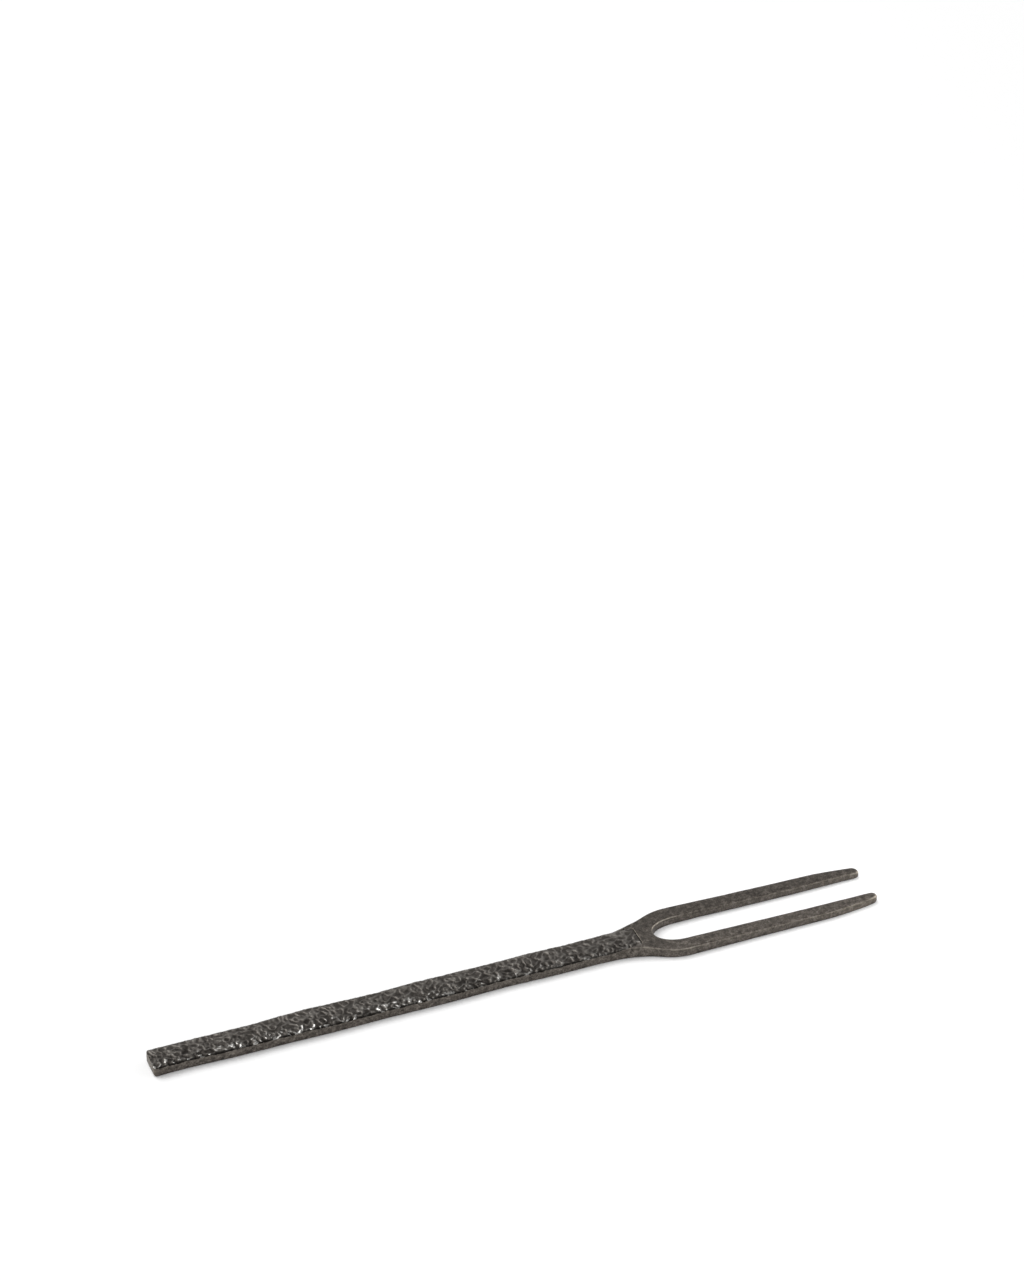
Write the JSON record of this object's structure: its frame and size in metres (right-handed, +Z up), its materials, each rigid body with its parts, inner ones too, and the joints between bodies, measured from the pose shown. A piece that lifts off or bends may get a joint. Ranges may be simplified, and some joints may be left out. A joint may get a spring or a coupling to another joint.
{
  "type": "two-tined fork",
  "caption": "Slim flat fork in blackened cast metal, with straight parallel tines, a flared neck and a pitted plate set along the top of its bar handle.",
  "frame": {"origin": "middle of the fork's flat underside", "axes": "+X along the fork towards the tine tips, +Z up out of the pitted face, +Y across the handle"},
  "size_m": [0.16, 0.0146, 0.0026],
  "materials": {
    "cast_body": "blackened, matt fine cast grain",
    "pitted_plate": "blackened, coarse pitted relief, satin",
    "solder": "dull soft solder"
  },
  "bodies": {
    "root": {"fork_blank": "cast_body", "grip_plate": "pitted_plate", "solder_film": "solder"}
  },
  "joints": []
}
